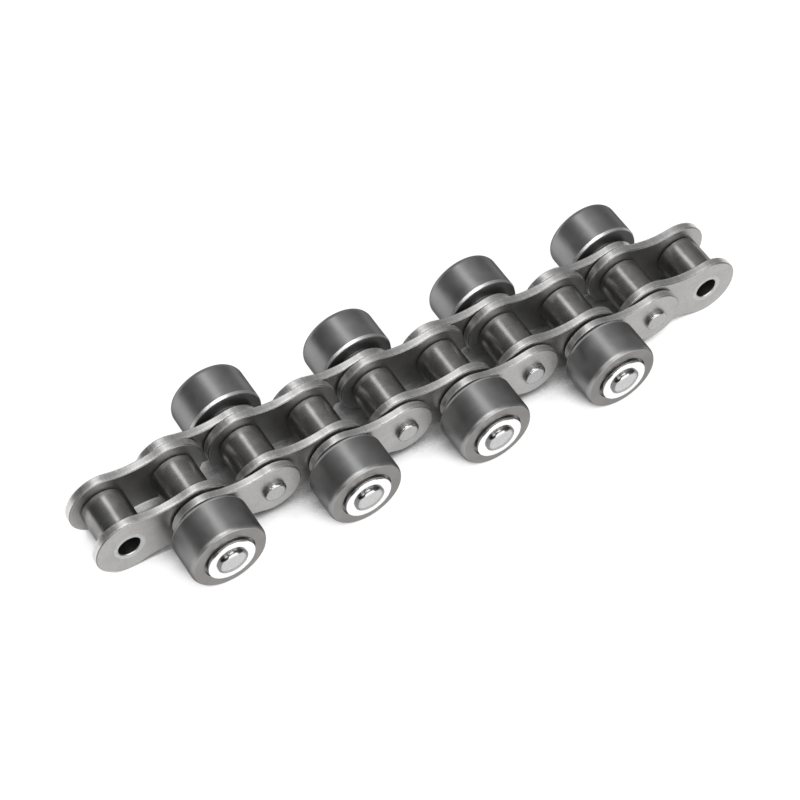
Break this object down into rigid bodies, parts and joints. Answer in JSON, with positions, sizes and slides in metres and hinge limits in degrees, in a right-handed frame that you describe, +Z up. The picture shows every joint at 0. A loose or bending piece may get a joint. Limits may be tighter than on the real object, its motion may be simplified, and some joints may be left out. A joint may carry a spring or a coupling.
{
  "type": "conveyor chain",
  "caption": "Roller chain strand with side rollers staggered along both sides: waisted inner and outer link plates on bushes and riveted pins, with open bushes at both ends.",
  "frame": {"origin": "middle of the strand's length and width, on the line through the centres of pivots 2 to 9", "axes": "+X along the chain, +Y across it towards the rear side rollers, +Z up with the strand standing on its side rollers and the plates of its two end links hanging down to the floor"},
  "size_m": [0.2522, 0.0676, 0.0274],
  "materials": {
    "plate_steel": "blanked, tumbled and heat-treated link plate steel, satin grey",
    "bush_steel": "case-hardened steel, smooth, lightly oiled",
    "pin_steel": "ground steel pin with a riveted end",
    "washer_steel": "bright ground washer",
    "roller_steel": "hardened dark steel, smooth satin",
    "side_roller_steel": "hardened dark steel, turned and satin"
  },
  "bodies": {
    "inner_link_1": {"inner_plate_front_1": "plate_steel", "inner_plate_rear_1": "plate_steel", "bush_1": "bush_steel", "bush_2": "bush_steel"},
    "inner_link_2": {"inner_plate_front_2": "plate_steel", "inner_plate_rear_2": "plate_steel", "bush_3": "bush_steel", "bush_4": "bush_steel"},
    "inner_link_3": {"inner_plate_front_3": "plate_steel", "inner_plate_rear_3": "plate_steel", "bush_5": "bush_steel", "bush_6": "bush_steel"},
    "inner_link_4": {"inner_plate_front_4": "plate_steel", "inner_plate_rear_4": "plate_steel", "bush_7": "bush_steel", "bush_8": "bush_steel"},
    "inner_link_5": {"inner_plate_front_5": "plate_steel", "inner_plate_rear_5": "plate_steel", "bush_9": "bush_steel", "bush_10": "bush_steel"},
    "outer_link_1": {"outer_plate_front_1": "plate_steel", "outer_plate_rear_1": "plate_steel", "front_roller_pin_1": "pin_steel", "rear_roller_pin_1": "pin_steel", "end_washers_1": "washer_steel"},
    "outer_link_2": {"outer_plate_front_2": "plate_steel", "outer_plate_rear_2": "plate_steel", "front_roller_pin_2": "pin_steel", "rear_roller_pin_2": "pin_steel", "end_washers_2": "washer_steel"},
    "outer_link_3": {"outer_plate_front_3": "plate_steel", "outer_plate_rear_3": "plate_steel", "front_roller_pin_3": "pin_steel", "rear_roller_pin_3": "pin_steel", "end_washers_3": "washer_steel"},
    "outer_link_4": {"outer_plate_front_4": "plate_steel", "outer_plate_rear_4": "plate_steel", "front_roller_pin_4": "pin_steel", "rear_roller_pin_4": "pin_steel", "end_washers_4": "washer_steel"},
    "chain_roller_1": {"chain_roller_1": "roller_steel"},
    "chain_roller_2": {"chain_roller_2": "roller_steel"},
    "chain_roller_3": {"chain_roller_3": "roller_steel"},
    "chain_roller_4": {"chain_roller_4": "roller_steel"},
    "chain_roller_5": {"chain_roller_5": "roller_steel"},
    "chain_roller_6": {"chain_roller_6": "roller_steel"},
    "chain_roller_7": {"chain_roller_7": "roller_steel"},
    "chain_roller_8": {"chain_roller_8": "roller_steel"},
    "chain_roller_9": {"chain_roller_9": "roller_steel"},
    "chain_roller_10": {"chain_roller_10": "roller_steel"},
    "front_side_roller_1": {"front_side_roller_1": "side_roller_steel"},
    "rear_side_roller_1": {"rear_side_roller_1": "side_roller_steel"},
    "front_side_roller_2": {"front_side_roller_2": "side_roller_steel"},
    "rear_side_roller_2": {"rear_side_roller_2": "side_roller_steel"},
    "front_side_roller_3": {"front_side_roller_3": "side_roller_steel"},
    "rear_side_roller_3": {"rear_side_roller_3": "side_roller_steel"},
    "front_side_roller_4": {"front_side_roller_4": "side_roller_steel"},
    "rear_side_roller_4": {"rear_side_roller_4": "side_roller_steel"}
  },
  "joints": [
    {"name": "pivot_5", "type": "hinge", "parent": "inner_link_3", "child": "outer_link_2", "pos_m": [-0.0127, 0, 0], "axis": [0, 1, 0], "range_deg": [-110, 110]},
    {"name": "pivot_4", "type": "hinge", "parent": "outer_link_2", "child": "inner_link_2", "pos_m": [-0.0381, 0, 0], "axis": [0, -1, 0], "range_deg": [-110, 110]},
    {"name": "pivot_3", "type": "hinge", "parent": "inner_link_2", "child": "outer_link_1", "pos_m": [-0.0635, 0, 0], "axis": [0, 1, 0], "range_deg": [-110, 110]},
    {"name": "pivot_2", "type": "hinge", "parent": "outer_link_1", "child": "inner_link_1", "pos_m": [-0.0889, 0, 0], "axis": [0, -1, 0], "range_deg": [-114.06, 105.94]},
    {"name": "pivot_6", "type": "hinge", "parent": "inner_link_3", "child": "outer_link_3", "pos_m": [0.0127, 0, 0], "axis": [0, 1, 0], "range_deg": [-110, 110]},
    {"name": "pivot_7", "type": "hinge", "parent": "outer_link_3", "child": "inner_link_4", "pos_m": [0.0381, 0, 0], "axis": [0, -1, 0], "range_deg": [-110, 110]},
    {"name": "pivot_8", "type": "hinge", "parent": "inner_link_4", "child": "outer_link_4", "pos_m": [0.0635, 0, 0], "axis": [0, 1, 0], "range_deg": [-110, 110]},
    {"name": "pivot_9", "type": "hinge", "parent": "outer_link_4", "child": "inner_link_5", "pos_m": [0.0889, 0, 0], "axis": [0, -1, 0], "range_deg": [-105.94, 114.06]},
    {"name": "chain_roller_1_spin", "type": "hinge", "parent": "inner_link_1", "child": "chain_roller_1", "pos_m": [-0.11424, 0, -0.0018], "axis": [0, 1, 0], "continuous": true},
    {"name": "chain_roller_2_spin", "type": "hinge", "parent": "inner_link_1", "child": "chain_roller_2", "pos_m": [-0.0889, 0, 0], "axis": [0, 1, 0], "continuous": true},
    {"name": "chain_roller_3_spin", "type": "hinge", "parent": "inner_link_2", "child": "chain_roller_3", "pos_m": [-0.0635, 0, 0], "axis": [0, 1, 0], "continuous": true},
    {"name": "chain_roller_4_spin", "type": "hinge", "parent": "inner_link_2", "child": "chain_roller_4", "pos_m": [-0.0381, 0, 0], "axis": [0, 1, 0], "continuous": true},
    {"name": "chain_roller_5_spin", "type": "hinge", "parent": "inner_link_3", "child": "chain_roller_5", "pos_m": [-0.0127, 0, 0], "axis": [0, 1, 0], "continuous": true},
    {"name": "chain_roller_6_spin", "type": "hinge", "parent": "inner_link_3", "child": "chain_roller_6", "pos_m": [0.0127, 0, 0], "axis": [0, 1, 0], "continuous": true},
    {"name": "chain_roller_7_spin", "type": "hinge", "parent": "inner_link_4", "child": "chain_roller_7", "pos_m": [0.0381, 0, 0], "axis": [0, 1, 0], "continuous": true},
    {"name": "chain_roller_8_spin", "type": "hinge", "parent": "inner_link_4", "child": "chain_roller_8", "pos_m": [0.0635, 0, 0], "axis": [0, 1, 0], "continuous": true},
    {"name": "chain_roller_9_spin", "type": "hinge", "parent": "inner_link_5", "child": "chain_roller_9", "pos_m": [0.0889, 0, 0], "axis": [0, 1, 0], "continuous": true},
    {"name": "chain_roller_10_spin", "type": "hinge", "parent": "inner_link_5", "child": "chain_roller_10", "pos_m": [0.11424, 0, -0.0018], "axis": [0, 1, 0], "continuous": true},
    {"name": "front_side_roller_1_spin", "type": "hinge", "parent": "outer_link_1", "child": "front_side_roller_1", "pos_m": [-0.0889, 0, 0], "axis": [0, 1, 0], "continuous": true},
    {"name": "rear_side_roller_1_spin", "type": "hinge", "parent": "outer_link_1", "child": "rear_side_roller_1", "pos_m": [-0.0635, 0, 0], "axis": [0, 1, 0], "continuous": true},
    {"name": "front_side_roller_2_spin", "type": "hinge", "parent": "outer_link_2", "child": "front_side_roller_2", "pos_m": [-0.0381, 0, 0], "axis": [0, 1, 0], "continuous": true},
    {"name": "rear_side_roller_2_spin", "type": "hinge", "parent": "outer_link_2", "child": "rear_side_roller_2", "pos_m": [-0.0127, 0, 0], "axis": [0, 1, 0], "continuous": true},
    {"name": "front_side_roller_3_spin", "type": "hinge", "parent": "outer_link_3", "child": "front_side_roller_3", "pos_m": [0.0127, 0, 0], "axis": [0, 1, 0], "continuous": true},
    {"name": "rear_side_roller_3_spin", "type": "hinge", "parent": "outer_link_3", "child": "rear_side_roller_3", "pos_m": [0.0381, 0, 0], "axis": [0, 1, 0], "continuous": true},
    {"name": "front_side_roller_4_spin", "type": "hinge", "parent": "outer_link_4", "child": "front_side_roller_4", "pos_m": [0.0635, 0, 0], "axis": [0, 1, 0], "continuous": true},
    {"name": "rear_side_roller_4_spin", "type": "hinge", "parent": "outer_link_4", "child": "rear_side_roller_4", "pos_m": [0.0889, 0, 0], "axis": [0, 1, 0], "continuous": true}
  ]
}
